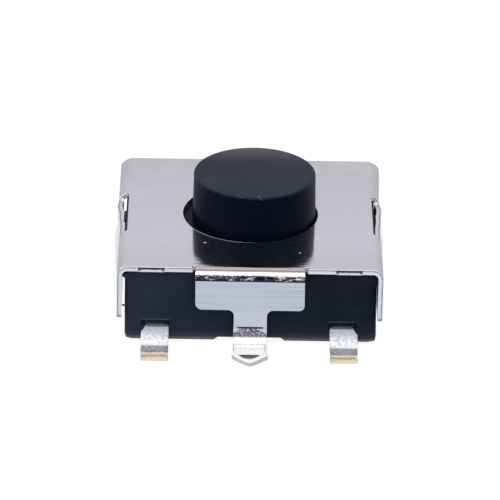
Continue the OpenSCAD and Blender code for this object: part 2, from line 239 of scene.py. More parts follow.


# Black glass-filled plastic, moulded: blue-black and nearly matt, a little lighter and browner towards the
# lower edge and on its chamfer.
moulded_black, tree, mm = plain_surface("black_plastic_moulded_matt")
cloud = add(tree, "ShaderNodeTexNoise", {"Vector": mm, "Scale": 1.3, "Detail": 3.0, "Roughness": 0.55})
grain = add(tree, "ShaderNodeTexNoise", {"Vector": mm, "Scale": 22.0, "Detail": 3.0, "Roughness": 0.6})
grained = add(tree, "ShaderNodeMath", {0: grain, 1: 0.9, 2: -0.45}, operation="MULTIPLY_ADD")
grained = add(tree, "ShaderNodeMath", {0: grained, 1: cloud}, operation="ADD")
tone = add(tree, "ShaderNodeValToRGB", {0: grained}, stops=((0.35, "#0b141d"), (0.68, "#141e2a")))
apart = add(tree, "ShaderNodeSeparateXYZ", {0: mm})
X, Z = apart.outputs["X"], apart.outputs["Z"]
low_part = add(tree, "ShaderNodeMapRange", {"Value": Z, "From Min": 0.75, "From Max": 0.16})
lighter_low = add(tree, "ShaderNodeMix", {0: low_part, 6: tone, 7: "#212433"}, data_type="RGBA")
# Painted light: the part towards the left is painted lighter, as lit by the lamp on the left
left_part = add(tree, "ShaderNodeMapRange", {"Value": X, "From Min": 0.6, "From Max": -2.9, "To Max": 0.55})
lit_left = add(tree, "ShaderNodeMix", {0: left_part, 6: lighter_low, 7: "#283343"}, data_type="RGBA")
on_bevel = add(tree, "ShaderNodeMapRange", {"Value": Z, "From Min": 0.165, "From Max": 0.125})
by_edge = add(tree, "ShaderNodeMapRange", {"Value": Z, "From Min": 0.30, "From Max": 0.14, "To Max": 0.24})
on_bevel = add(tree, "ShaderNodeMath", {0: on_bevel, 1: by_edge}, operation="MAXIMUM")
edged = add(tree, "ShaderNodeMix", {0: on_bevel, 6: lit_left, 7: "#6a6370"}, data_type="RGBA")
# Pale marks: specks low down, and a painted highlight along the lip over each terminal's recess, broken up by
# noise
out_side = add(tree, "ShaderNodeMath", {0: X}, operation="ABSOLUTE")
speck = add(tree, "ShaderNodeTexNoise", {"Vector": mm, "Scale": 9.0, "Detail": 3.0, "Roughness": 0.7})
bright = add(tree, "ShaderNodeMapRange", {"Value": speck, "From Min": 0.70, "From Max": 0.76})
low_down = add(tree, "ShaderNodeMapRange", {"Value": Z, "From Min": 0.55, "From Max": 0.2})
lip_breaks = add(tree, "ShaderNodeMapRange", {"Value": speck, "From Min": 0.35, "From Max": 0.6})
lip_highlight = zone((Z, LIP_Z - 0.012, LIP_Z + 0.012, 0.006), (out_side, 1.92, 2.58, 0.03), lip_breaks)
specks_and_lip_highlight = add(tree, "ShaderNodeMath", {0: lip_highlight, 1: zone(bright, low_down)}, operation="MAXIMUM")
coloured = add(tree, "ShaderNodeMix", {0: specks_and_lip_highlight, 6: edged, 7: "#8d95a0"}, data_type="RGBA")
relief = add(tree, "ShaderNodeBump", {"Height": grain, "Strength": 0.6, "Distance": 0.000005})
shader = add(tree, "ShaderNodeBsdfPrincipled",
             {"Base Color": coloured, "Roughness": 0.46, "Normal": relief, "Specular IOR Level": 0.05})
add(tree, "ShaderNodeOutputMaterial", {"Surface": shader})

bm = bmesh.new()
bm.from_mesh(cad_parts["base"].data)
bmesh.ops.scale(bm, vec=(1000, 1000, 1000), verts=bm.verts)
bmesh.ops.remove_doubles(bm, verts=bm.verts, dist=0.0005)
bmesh.ops.dissolve_limit(bm, angle_limit=math.radians(0.5), verts=bm.verts, edges=bm.edges)
for vert in bm.verts:
    # The latch nub on the left is shorter at its back end
    if vert.co.x < -SIDE_X and 0.4 < vert.co.y < 0.6:
        vert.co.y = NUB_BACK
    # The chamfer along the lower edge of each side is wider than at the front
    if abs(vert.co.x) > CORNER_X and vert.co.z < CHAMFER_TOP + 0.01:
        share = min(1.0, (abs(vert.co.x) - CORNER_X) / 0.12)
        if vert.co.z < CHAMFER_LOW + 0.01:
            vert.co.x -= math.copysign(CHAMFER_WIDER, vert.co.x)
        vert.co.z += CHAMFER_HIGHER * share * (vert.co.z - CHAMFER_LOW) / (CHAMFER_TOP - CHAMFER_LOW)
    # The right side stands out a little, most at its foot
    if CORNER_X - 0.04 < vert.co.x < SIDE_X:
        share = min(1.0, (vert.co.x - CORNER_X + 0.04) / 0.10)
        vert.co.x += share * (SIDE_OUT + SIDE_FOOT_OUT * max(0.0, 1 - vert.co.z / 1.5))
# Ribs that fill the fold of the cover, with a slope below: side, lower edge, reach, front end and back end
for side, low_z, wide, front, back in ((-1, 1.62, 3.040, -3.0, -0.1), (-1, 1.62, 3.075, -0.15, 0.45),
                                       (-1, 1.62, 3.024, 0.42, 1.6), (1, 1.50, 3.035, -3.0, 1.6)):
    near_x, far_x = sorted((side * RIB_ROOT, side * wide))
    known = set(bm.verts)
    block(bm, (near_x, front, low_z), (far_x, back, RIB_TOP))
    for vert in set(bm.verts) - known:
        if abs(vert.co.x) > 2.96 and vert.co.z < 1.7:
            vert.co.z += RIB_SLOPE
# A trace of flash on the left of the front
block(bm, (-3.045, -2.985, 0.93), (-RIB_ROOT, -2.94, 0.955))
shape = bpy.data.meshes.new("base_shape")
bm.to_mesh(shape)
bm.free()
holder = bpy.data.objects.new("base_shape", shape)
bpy.context.collection.objects.link(holder)
rounding = holder.modifiers.new("edge_round", "BEVEL")
rounding.width = EDGE_ROUND
rounding.segments = 2
rounding.limit_method = "ANGLE"
rounding.angle_limit = math.radians(28)
rounding.use_clamp_overlap = True
finish_piece(taken_from(holder), "moulded_base", moulded_black, "housing", "base",
             sharp_angle=30)


# Terminal frames: stamped from 0.24 mm brass strip that was tin-plated before the press.
# Each frame is a rail in the base with a gull-wing solder foot at each end. The tips were cut last, so
# they show the bare brass.
STRIP_T, STRIP_W, PITCH, RAIL_MID = 0.24, 0.655, 4.5, 0.30
TIP_Y, FOOT_LEN, BEND_MID = 4.01, 0.34, 0.24
STEP_IN, STEP_FROM, STEP_TO = 0.075, 3.07, 3.29
BEND_TURN = math.acos(1 - (RAIL_MID - STRIP_T / 2) / (2 * BEND_MID))
COINED_LOW, CONTACT_R, TONGUE_TOP, CONTACT_TOP = 0.18, 0.35, 0.30, 0.46
RING_OUT, RING_IN, RING_OPEN, RING_TOP = 1.88, 1.50, 100, 0.42

# Bright tin over brass, stamped: pale silver with cloudy patches, and yellow brass on the cut ends with
# tin dragged over their upper edge by the shear.
tinned_brass, tree, mm = plain_surface("tin_plated_brass_stamped")
apart = add(tree, "ShaderNodeSeparateXYZ", {0: mm})
patch = add(tree, "ShaderNodeTexNoise", {"Vector": mm, "Scale": 12.0, "Detail": 4.0, "Roughness": 0.68})
out_end = add(tree, "ShaderNodeMath", {0: apart.outputs["Y"]}, operation="ABSOLUTE")
on_foot = add(tree, "ShaderNodeMapRange", {"Value": out_end, "From Min": 3.67, "From Max": 3.70})
foot_tin = add(tree, "ShaderNodeValToRGB", {0: patch}, stops=((0.40, "#aaa7b4"), (0.66, "#f2f2f5")))
mid_slope = zone((out_end, 3.37, 3.57, 0.06))
mid_slope = add(tree, "ShaderNodeMath", {0: mid_slope, 1: -0.09, 2: 0.045}, operation="MULTIPLY_ADD")
uneven = add(tree, "ShaderNodeMath", {0: patch, 1: mid_slope}, operation="ADD")
tin = add(tree, "ShaderNodeValToRGB", {0: uneven}, stops=((0.36, "#c3c6d4"), (0.52, "#f4f5fc")))
tinned = add(tree, "ShaderNodeMix", {0: on_foot, 6: tin, 7: foot_tin}, data_type="RGBA")
from_centre = add(tree, "ShaderNodeMath", {0: apart.outputs["X"]}, operation="ABSOLUTE")
from_centre = add(tree, "ShaderNodeMath", {0: from_centre, 1: PITCH / 2}, operation="SUBTRACT")
from_centre = add(tree, "ShaderNodeMath", {0: from_centre}, operation="ABSOLUTE")
torn_place = add(tree, "ShaderNodeVectorMath", {0: mm, 1: (5.0, 12.0, 14.0)}, operation="MULTIPLY")
torn = add(tree, "ShaderNodeTexNoise", {"Vector": torn_place, "Scale": 1.0, "Detail": 3.0})
wander = add(tree, "ShaderNodeMath", {0: torn, 1: 0.07, 2: 0.235}, operation="MULTIPLY_ADD")
inner_part = add(tree, "ShaderNodeMapRange", {"Value": from_centre, "From Min": 0.31, "From Max": wander})
at_tip = add(tree, "ShaderNodeMath", {0: out_end, 1: TIP_Y - 0.006}, operation="GREATER_THAN")
level_z = add(tree, "ShaderNodeMath", {0: torn, 1: 0.10, 2: -0.05}, operation="MULTIPLY_ADD")
level_z = add(tree, "ShaderNodeMath", {0: level_z, 1: apart.outputs["Z"]}, operation="ADD")
level_z = add(tree, "ShaderNodeMapRange", {"Value": level_z, "From Min": 0.0, "From Max": STRIP_T})
# The cut end's colour runs in bands by height; the creamy band just under its top edge is a painted highlight
brass_bands_and_highlight = add(tree, "ShaderNodeValToRGB", {0: level_z}, stops=(
    (0.0, "#d2d1c6"), (0.14, "#e2ddcf"), (0.40, "#ddd0b8"), (0.58, "#b0976a"), (0.72, "#c9b48d"),
    (0.86, "#eadfcb"), (1.0, "#a3907f")))
plated = add(tree, "ShaderNodeMix", {0: zone(at_tip, inner_part), 6: tinned, 7: brass_bands_and_highlight}, data_type="RGBA")
clear_of_wall = add(tree, "ShaderNodeMapRange", {"Value": out_end, "From Min": 3.01, "From Max": 3.07})
dull = add(tree, "ShaderNodeMapRange", {"Value": clear_of_wall, "To Min": 0.10, "To Max": 0.50})
dull = add(tree, "ShaderNodeMix", {0: on_foot, 2: dull, 3: 0.32})
chalky = add(tree, "ShaderNodeMath", {0: 1.0, 1: on_foot}, operation="SUBTRACT")
metal = add(tree, "ShaderNodeMapRange", {"Value": zone(chalky, clear_of_wall), "To Min": 0.8, "To Max": 0.25})
relief = add(tree, "ShaderNodeBump", {"Height": patch, "Strength": 0.9, "Distance": 0.00005})
shader = add(tree, "ShaderNodeBsdfPrincipled",
             {"Base Color": plated, "Metallic": metal, "Roughness": dull, "Normal": relief})
add(tree, "ShaderNodeOutputMaterial", {"Surface": shader})

# Node tree that sweeps the strip's section along a rail's route, and narrows it where it leaves the base
press = bpy.data.node_groups.new("strip_along_route", "GeometryNodeTree")
press.is_modifier = True
press.interface.new_socket("Geometry", in_out="INPUT", socket_type="NodeSocketGeometry")
for name, start in (("Strip Thickness", STRIP_T), ("Strip Width", STRIP_W), ("Bend Radius", BEND_MID),
                    ("Edge Round", 0.02), ("Narrowing", STEP_IN), ("Narrow Until", STEP_FROM),
                    ("Full From", STEP_TO), ("Side", 1.0), ("Half Pitch", PITCH / 2)):
    press.interface.new_socket(name, in_out="INPUT", socket_type="NodeSocketFloat").default_value = start
press.interface.new_socket("Material", in_out="INPUT", socket_type="NodeSocketMaterial")
press.interface.new_socket("Geometry", in_out="OUTPUT", socket_type="NodeSocketGeometry")
given = add(press, "NodeGroupInput").outputs
bent = add(press, "GeometryNodeFilletCurve", {"Curve": given["Geometry"], "Radius": given["Bend Radius"],
                                              "Count": 14, "Limit Radius": True}, mode="POLY")
section = add(press, "GeometryNodeCurvePrimitiveQuadrilateral",
              {"Width": given["Strip Width"], "Height": given["Strip Thickness"]})
soft_section = add(press, "GeometryNodeFilletCurve",
                   {"Curve": section, "Radius": given["Edge Round"], "Count": 3}, mode="POLY")
swept = add(press, "GeometryNodeCurveToMesh",
            {"Curve": bent, "Profile Curve": soft_section, "Fill Caps": True})
where = add(press, "GeometryNodeInputPosition")
apart = add(press, "ShaderNodeSeparateXYZ", {0: where})
outer = add(press, "ShaderNodeMath", {0: apart.outputs["X"], 1: given["Side"]}, operation="MULTIPLY")
is_outer = add(press, "ShaderNodeMath", {0: outer, 1: 0.0}, operation="GREATER_THAN")
from_middle = add(press, "ShaderNodeMath", {0: apart.outputs["Y"]}, operation="ABSOLUTE")
narrow = add(press, "ShaderNodeMapRange", {"Value": from_middle, "From Min": given["Full From"],
                                           "From Max": given["Narrow Until"], "To Max": given["Narrowing"]})
narrow_out = add(press, "ShaderNodeMath", {0: narrow, 1: is_outer}, operation="MULTIPLY")
centre = add(press, "ShaderNodeMath", {0: given["Half Pitch"], 1: narrow_out}, operation="SUBTRACT")
move = add(press, "ShaderNodeMath", {0: centre, 1: given["Side"]}, operation="MULTIPLY")
offset = add(press, "ShaderNodeCombineXYZ", {0: move})
placed = add(press, "GeometryNodeSetPosition", {"Geometry": swept, "Offset": offset})
real = add(press, "GeometryNodeRealizeInstances", {0: placed})
dressed = add(press, "GeometryNodeSetMaterial", {"Geometry": real, "Material": given["Material"]})
add(press, "NodeGroupOutput", {0: dressed})

# Corner points of one rail's route, from the front tip to the back tip, before the bends are rounded
corner = BEND_MID * math.tan(BEND_TURN / 2)
foot_end = TIP_Y - FOOT_LEN
rail_end = foot_end - 2 * BEND_MID * math.sin(BEND_TURN)
half_route = [(TIP_Y, STRIP_T / 2), (foot_end - corner, STRIP_T / 2), (rail_end + corner, RAIL_MID)]
half_route += [(y, RAIL_MID) for y in (STEP_TO, (STEP_TO + STEP_FROM) / 2, STEP_FROM, 2.2)]
route = [(-y, z) for y, z in half_route] + [(y, z) for y, z in reversed(half_route)]


def terminal_rail(side):
    """Mesh of one rail with its two solder feet: side is -1 on the left and 1 on the right."""
    line = bpy.data.curves.new("rail_route", "CURVE")
    line.dimensions = "3D"
    spline = line.splines.new("POLY")
    spline.points.add(len(route) - 1)
    for point, (y, z) in zip(spline.points, route):
        point.co = (0, y, z, 1)
    holder = bpy.data.objects.new("rail_route", line)
    bpy.context.collection.objects.link(holder)
    sweep = holder.modifiers.new("strip_along_route", "NODES")
    sweep.node_group = press
    sockets = {item.name: item.identifier for item in press.interface.items_tree if item.in_out == "INPUT"}
    sweep[sockets["Side"]] = float(side)
    sweep[sockets["Material"]] = tinned_brass
    return taken_from(holder)


def turned(bm, outline, steps=160, centre=0.0):
    """Turn a closed half section round the upright axis. The outline runs from axis to axis."""
    rings = []
    for r, z in outline:
        if r < 1e-6:
            rings.append([bm.verts.new((centre, 0, z))])
        else:
            rings.append([bm.verts.new((centre + r * math.cos(2 * math.pi * i / steps),
                                        r * math.sin(2 * math.pi * i / steps), z)) for i in range(steps)])
    for one, two in zip(rings, rings[1:]):
        for i in range(steps):
            j = (i + 1) % steps
            ring = [one[i % len(one)], one[j % len(one)], two[j % len(two)], two[i % len(two)]]
            face = list(dict.fromkeys(ring))
            if len(face) > 2:
                bm.faces.new(face)


# Left frame: the rail, with the coined tongue and the round centre contact that it carries
bm = terminal_rail(-1)
block(bm, (-PITCH / 2, -CONTACT_R, COINED_LOW), (0, CONTACT_R, TONGUE_TOP))
turned(bm, [(0, COINED_LOW), (CONTACT_R, COINED_LOW), (CONTACT_R, CONTACT_TOP - 0.02),
            (CONTACT_R - 0.02, CONTACT_TOP), (0, CONTACT_TOP)], steps=64)
bmesh.ops.recalc_face_normals(bm, faces=bm.faces)
finish_piece(bm, "terminal_frame_left", tinned_brass, "housing", "terminal_left")

# Right frame: the rail, with the open ring that the dome's rim stands on
bm = terminal_rail(1)
block(bm, ((RING_IN + RING_OUT) / 2, -STRIP_W / 2, COINED_LOW), (PITCH / 2, STRIP_W / 2, RING_TOP))
half_ring = 180 - RING_OPEN / 2
slices = []
for i in range(97):
    a = math.radians(-half_ring + i * 2 * half_ring / 96)
    slices.append([bm.verts.new((r * math.cos(a), r * math.sin(a), z))
                   for r, z in ((RING_IN, COINED_LOW), (RING_OUT, COINED_LOW),
                                (RING_OUT, RING_TOP), (RING_IN, RING_TOP))])
for one, two in zip(slices, slices[1:]):
    for i in range(4):
        bm.faces.new((one[i], one[(i + 1) % 4], two[(i + 1) % 4], two[i]))
bm.faces.new(slices[0])
bm.faces.new(slices[-1][::-1])
bmesh.ops.recalc_face_normals(bm, faces=bm.faces)
finish_piece(bm, "terminal_frame_right", tinned_brass, "housing", "terminal_right")


# Contact dome: a snap disc of 0.06 mm spring sheet, silver-plated below.
# It lies loose in the pocket with its rim on the contact ring. The plunger's nub pushes its middle down
# until it snaps on to the centre contact.
DOME_RIM_Z, DOME_D, DOME_RISE, DOME_T = 0.42, 3.7, 0.30, 0.06

# Stainless spring sheet, drawn: bright, with faint rings from the punch.
spring_sheet, tree, mm = plain_surface("spring_steel_drawn")
ring_marks = add(tree, "ShaderNodeTexWave", {"Vector": mm, "Scale": 2.2, "Distortion": 1.5, "Detail": 2.0},
                 wave_type="RINGS", rings_direction="Z")
dull = add(tree, "ShaderNodeMapRange", {"Value": ring_marks.outputs["Fac"], "To Min": 0.22, "To Max": 0.32})
shader = add(tree, "ShaderNodeBsdfPrincipled", {"Base Color": "#c6c6c4", "Metallic": 1.0, "Roughness": dull})
add(tree, "ShaderNodeOutputMaterial", {"Surface": shader})

ball_r = ((DOME_D / 2) ** 2 + DOME_RISE ** 2) / (2 * DOME_RISE)
ball_z = DOME_RIM_Z + DOME_RISE - ball_r
inside = [(r, ball_z + math.sqrt(ball_r ** 2 - r ** 2)) for r in (DOME_D / 2 * i / 24 for i in range(25))]
outside = [(r, ball_z + math.sqrt((ball_r + DOME_T) ** 2 - r ** 2)) for r, z in reversed(inside)]
bm = bmesh.new()
turned(bm, inside + outside, steps=96)
bmesh.ops.recalc_face_normals(bm, faces=bm.faces)
dome = finish_piece(bm, "snap_dome", spring_sheet, "housing", "contact_dome")
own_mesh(dome)


# Plunger: the black moulded button that the finger presses.
# It is turned here as one body: flat top, round top edge, a wall with a slight draft, the flange that the
# cover holds down, and the nub that stands over the dome.
PLUNGER_OFF = 0.09
TOP_Z, TOP_R, TOP_EDGE = 3.10, 1.475, 0.045
SHAFT_R, FLANGE_R, FLANGE_LOW, FLANGE_TOP = 1.50, 2.05, 1.44, 1.89
NUB_R, NUB_LOW = 0.55, 0.79

# Black plastic, moulded and satin: blue-black, with painted light: the flat top is painted greyer than the
# sides, as lit from above, and lighter still towards its back as a painted sheen. A few pale scuffs on the
# rim of the top.
satin_black, tree, mm = plain_surface("black_plastic_moulded_satin")
apart = add(tree, "ShaderNodeSeparateXYZ", {0: mm})
Y, Z = apart.outputs["Y"], apart.outputs["Z"]
on_top = add(tree, "ShaderNodeMapRange", {"Value": Z, "From Min": TOP_Z - 0.05, "From Max": TOP_Z - 0.002})
cloud = add(tree, "ShaderNodeTexNoise", {"Vector": mm, "Scale": 0.9, "Detail": 3.0})
grain = add(tree, "ShaderNodeTexNoise", {"Vector": mm, "Scale": 20.0, "Detail": 3.0, "Roughness": 0.6})
grained = add(tree, "ShaderNodeMath", {0: grain, 1: 1.6, 2: -0.8}, operation="MULTIPLY_ADD")
grained = add(tree, "ShaderNodeMath", {0: grained, 1: cloud}, operation="ADD", use_clamp=True)
lit_top_tone = add(tree, "ShaderNodeMix", {0: grained, 6: "#161b26", 7: "#2b3141"}, data_type="RGBA")
shaded_side_tone = add(tree, "ShaderNodeMix", {0: grained, 6: "#02070f", 7: "#070f1d"}, data_type="RGBA")
back_sheen = add(tree, "ShaderNodeMapRange", {"Value": Y, "From Min": 0.6, "From Max": 1.45})
lit_top_tone = add(tree, "ShaderNodeMix", {0: back_sheen, 6: lit_top_tone, 7: "#4e4e59"}, data_type="RGBA")
lit_and_shaded_tone = add(tree, "ShaderNodeMix", {0: on_top, 6: shaded_side_tone, 7: lit_top_tone}, data_type="RGBA")
speck = add(tree, "ShaderNodeTexNoise", {"Vector": mm, "Scale": 11.0, "Detail": 5.0, "Roughness": 0.7})
scuff = add(tree, "ShaderNodeMapRange", {"Value": speck, "From Min": 0.60, "From Max": 0.70})
at_rim = add(tree, "ShaderNodeMapRange", {"Value": Y, "From Min": -1.30, "From Max": -1.46})
high = add(tree, "ShaderNodeMapRange", {"Value": Z, "From Min": TOP_Z - 0.06, "From Max": TOP_Z - 0.02})
marked = add(tree, "ShaderNodeMix", {0: zone(scuff, at_rim, high), 6: lit_and_shaded_tone, 7: "#8f959c"}, data_type="RGBA")
relief = add(tree, "ShaderNodeBump", {"Height": grain, "Strength": 0.5, "Distance": 0.000005})
shader = add(tree, "ShaderNodeBsdfPrincipled", {"Base Color": marked, "Roughness": 0.38, "Normal": relief,
                                                "Specular IOR Level": 0.045, "Specular Tint": "#a9bdf0"})
add(tree, "ShaderNodeOutputMaterial", {"Surface": shader})

edge_arc = [(TOP_R - TOP_EDGE + TOP_EDGE * math.cos(math.radians(a)),
             TOP_Z - TOP_EDGE + TOP_EDGE * math.sin(math.radians(a))) for a in range(0, 91, 9)]
bm = bmesh.new()
turned(bm, [(0, NUB_LOW), (NUB_R, NUB_LOW), (NUB_R, FLANGE_LOW), (FLANGE_R, FLANGE_LOW),
            (FLANGE_R, FLANGE_TOP), (SHAFT_R, FLANGE_TOP), (1.488, 2.45)] + edge_arc +
       [(1.30, TOP_Z), (0.7, TOP_Z), (0, TOP_Z)], steps=192, centre=PLUNGER_OFF)
bmesh.ops.recalc_face_normals(bm, faces=bm.faces)
finish_piece(bm, "press_button", satin_black, "plunger", "plunger")


# Cover: one stamping of 0.12 mm stainless sheet, blanked flat and then folded.
# Its straps snap over the nubs of the base. The front flap runs down into the leg and the round solder
# foot of the ground terminal. The sheet is drawn here as its flat blank and folded by fold().
SHEET = 0.12
PLATE_Z, BEND_OUT = 2.02, 0.25
WALL_X, WALL_LOW, PLATE_Y = 3.17, 0.66, 3.08
FLAP_Y, FLAP_LOW, FLAP_HALF, FLAP_ROUND = 3.26, 0.99, 1.305, 0.15
LEG_HALF, LEG_BEND, FOOT_HALF, FOOT_TIP = 0.40, 0.08, 0.43, 4.225
FOOT_TIP_R, FOOT_EAR = 0.15, 0.06
HOLE_R = 1.63
STRAP_HALF, STRAP_BOW, STRAP_TOP, SLIT_X, SLIT_HALF = 0.97, 0.12, 1.80, 2.98, 1.07
LEFT_BOW, RIGHT_BOW = 0.98, 0.74
STRAP_HUMPS = (0.050, 0.72, 0.42), (0.022, 0.20, 0.50), (-0.014, -0.55, 0.50)
LEG_OFF, BACK_RELIEF, SPLAY = 0.02, 0.01, 0.055
RELIEF_W, RELIEF_IN = 0.05, 2.98
STUB_X, STUB_W, STUB_OUT, STUB_LOW, STUB_TOP = 2.35, 0.61, 0.04, 1.905, 1.98
CUT_ROUND = 0.026
EAR_ROUND, PLATE_ROUND, WALL_ROUND, BACK_ROUND = 0.014, 0.03, 0.05, 0.01
SLIT_ROUND, SLIT_WIDE_ROUND = 0.04, 0.11

QUARTER = BEND_OUT * math.pi / 2
SIDE_FROM, FLAP_FROM = WALL_X - BEND_OUT, FLAP_Y - BEND_OUT
SIDE_END = SIDE_FROM + QUARTER + (PLATE_Z - BEND_OUT - WALL_LOW)
FLAP_END = FLAP_FROM + QUARTER + (PLATE_Z - BEND_OUT - FLAP_LOW)
HEEL_FROM = FLAP_END + FLAP_LOW - (LEG_BEND + SHEET)
HEEL_END = HEEL_FROM + LEG_BEND * math.pi / 2
BLANK_TIP = HEEL_END + FOOT_TIP - (FLAP_Y + LEG_BEND)
SLIT_FROM = SIDE_FROM + BEND_OUT * math.asin((SLIT_X - SIDE_FROM) / BEND_OUT)
SLIT_TO = SIDE_FROM + BEND_OUT * math.acos((STRAP_TOP - (PLATE_Z - BEND_OUT)) / BEND_OUT)
STRAP_R = (STRAP_HALF ** 2 + STRAP_BOW ** 2) / (2 * STRAP_BOW)


def swell(v, middle, half):
    """A smooth hump along the strap: 1 at its middle, 0 from half its length away."""
    t = min(1.0, abs(v - middle) / half)
    return (1 - t * t) ** 2


def bow(side, v, z):
    """How far the strap stands out of the wall: an arc low down, and at its upper edge a hump that the
    latch nub has pushed towards the back, with the front half drawn in a little. Both walls splay a little
    towards the back corners."""
    arc = STRAP_BOW - STRAP_R + math.sqrt(STRAP_R ** 2 - min(abs(v), 1.6) ** 2)
    low = 0.5 * (arc + math.sqrt(arc ** 2 + 0.0003)) * (LEFT_BOW if side < 0 else RIGHT_BOW)
    high = sum(height * swell(v, middle, half) for height, middle, half in STRAP_HUMPS)
    t = max(0.0, min(1.0, (z - 1.30) / (STRAP_TOP - 1.30)))
    t = t * t * (3 - 2 * t)
    start, full = (0.1, 1.4) if side < 0 else (0.9, PLATE_Y)
    back = max(0.0, min(1.0, (v - start) / (full - start)))
    return low * (1 - t) + high * t + SPLAY * back * back * (3 - 2 * back)


def past_bend(run, deep):
    """For a way past the start of a bend of the plate: how far out that is, how high, and the turn so far."""
    turn = min(run, QUARTER) / BEND_OUT
    z = PLATE_Z - BEND_OUT + (BEND_OUT - deep) * math.cos(turn) - max(0.0, run - QUARTER)
    return (BEND_OUT - deep) * math.sin(turn), z, turn


def fold(u, v, deep):
    """Where a point of the blank lies on the folded cover, deep below the sheet's outer face."""
    if abs(u) > SIDE_FROM:
        side = math.copysign(1, u)
        out, z, turn = past_bend(abs(u) - SIDE_FROM, deep)
        return side * (SIDE_FROM + out + bow(side, v, z) * math.sin(turn) ** 3), v, z
    if v < 0:
        u += LEG_OFF * max(0.0, min(1.0, (abs(v) - FLAP_END + 0.2) / 0.2))
    run = abs(v) - FLAP_FROM
    if run <= 0 or abs(u) > FLAP_HALF + 0.01:
        return u, v, PLATE_Z - deep
    end = math.copysign(1, v)
    if abs(v) <= HEEL_FROM:
        out, z, turn = past_bend(run, deep)
        return u, end * (FLAP_FROM + out), z
    turn = min(abs(v) - HEEL_FROM, HEEL_END - HEEL_FROM) / LEG_BEND
    y = FLAP_Y + LEG_BEND - (LEG_BEND + deep) * math.cos(turn) + max(0.0, abs(v) - HEEL_END)
    z = LEG_BEND + SHEET - (LEG_BEND + deep) * math.sin(turn)
    return u, end * y, z


def arc_points(cu, cv, r, start, stop, count):
    """Points of an arc in the blank's plane, angles in degrees."""
    return [(cu + r * math.cos(math.radians(start + (stop - start) * i / count)),
             cv + r * math.sin(math.radians(start + (stop - start) * i / count))) for i in range(count + 1)]


# Right half of the blank's outline, from the tip of the ground foot to the middle of the back flap
ear_v = BLANK_TIP - FOOT_HALF + FOOT_TIP_R * (math.sqrt(2) - 1)
half_outline = [
    *arc_points(0, -BLANK_TIP + FOOT_TIP_R, FOOT_TIP_R, -90, -45, 8),
    (FOOT_HALF - 0.02, -ear_v - 0.02), (FOOT_HALF - 0.006, -ear_v), (FOOT_HALF, -ear_v + 0.02),
    (FOOT_HALF, -ear_v + FOOT_EAR - 0.015), (FOOT_HALF - 0.006, -ear_v + FOOT_EAR),
    *arc_points(LEG_HALF + EAR_ROUND, -ear_v + FOOT_EAR + EAR_ROUND, EAR_ROUND, 270, 180, 4),
    *arc_points(LEG_HALF + FLAP_ROUND, -FLAP_END - FLAP_ROUND, FLAP_ROUND, 180, 90, 10),
    *arc_points(FLAP_HALF - FLAP_ROUND, -FLAP_END + FLAP_ROUND, FLAP_ROUND, -90, 0, 10),
    *arc_points(FLAP_HALF + RELIEF_W / 2, -RELIEF_IN - RELIEF_W / 2, RELIEF_W / 2, 180, 0, 8),
    *arc_points(FLAP_HALF + RELIEF_W + PLATE_ROUND, -PLATE_Y + PLATE_ROUND, PLATE_ROUND, 180, 270, 4),
    (SIDE_FROM, -PLATE_Y),
    *arc_points(SIDE_END - WALL_ROUND, -PLATE_Y + WALL_ROUND, WALL_ROUND, -90, 0, 5),
    *arc_points(SIDE_END - WALL_ROUND, PLATE_Y - WALL_ROUND, WALL_ROUND, 0, 90, 5),
    (SIDE_FROM, PLATE_Y),
    *arc_points(FLAP_HALF + BACK_RELIEF + BACK_ROUND, PLATE_Y - BACK_ROUND, BACK_ROUND, 90, 180, 4),
    *arc_points(FLAP_HALF + BACK_RELIEF / 2, RELIEF_IN + BACK_RELIEF / 2, BACK_RELIEF / 2, 360, 180, 6),
    *arc_points(FLAP_HALF - FLAP_ROUND, FLAP_END - FLAP_ROUND, FLAP_ROUND, 0, 90, 10)]
outline = half_outline + [(-u, v) for u, v in reversed(half_outline[1:])]
hole = arc_points(0, 0, HOLE_R, 360, 2, 179)
slit = []
for edge_u, end, r, start in ((SLIT_FROM, -1, SLIT_ROUND, 270), (SLIT_FROM, 1, SLIT_WIDE_ROUND, 180),
                              (SLIT_TO, 1, SLIT_WIDE_ROUND, 90), (SLIT_TO, -1, SLIT_ROUND, 0)):
    inward = r if edge_u == SLIT_FROM else -r
    slit += arc_points(edge_u + inward, end * (SLIT_HALF - r), r, start, start - 90, 7)
loops = [outline, hole, slit, [(-u, v) for u, v in reversed(slit)]]


def inset(loop, distance):
    """The same closed loop, moved to its left by a distance."""
    moved = []
    for i, (u, v) in enumerate(loop):
        (u0, v0), (u1, v1) = loop[i - 1], loop[(i + 1) % len(loop)]
        before, after = Vector((u - u0, v - v0)).normalized(), Vector((u1 - u, v1 - v)).normalized()
        left = Vector((-before.y - after.y, before.x + after.x)).normalized()
        stretch = min(1.5, 1 / max(0.3, left.dot(Vector((-before.y, before.x)))))
        moved.append((u + left.x * distance * stretch, v + left.y * distance * stretch))
    return moved


# The blank as a net of triangles, with lines wherever the sheet bends, bows or has a rounded cut edge
points, edges = [], []


def lay(line, closed=False):
    """Add a line of points to the net."""
    first = len(points)
    points.extend(Vector(p) for p in line)
    edges.extend((first + i, first + i + 1) for i in range(len(line) - 1))
    if closed:
        edges.append((first + len(line) - 1, first))


def spread(low, high, step, margin=0.0):
    """Even steps from low to high, both included, and one more step of the margin's width at each end."""
    count = max(1, round((high - low) / step))
    even = [low + (high - low) * i / count for i in range(count + 1)]
    return [low - margin] + even + [high + margin] if margin else even


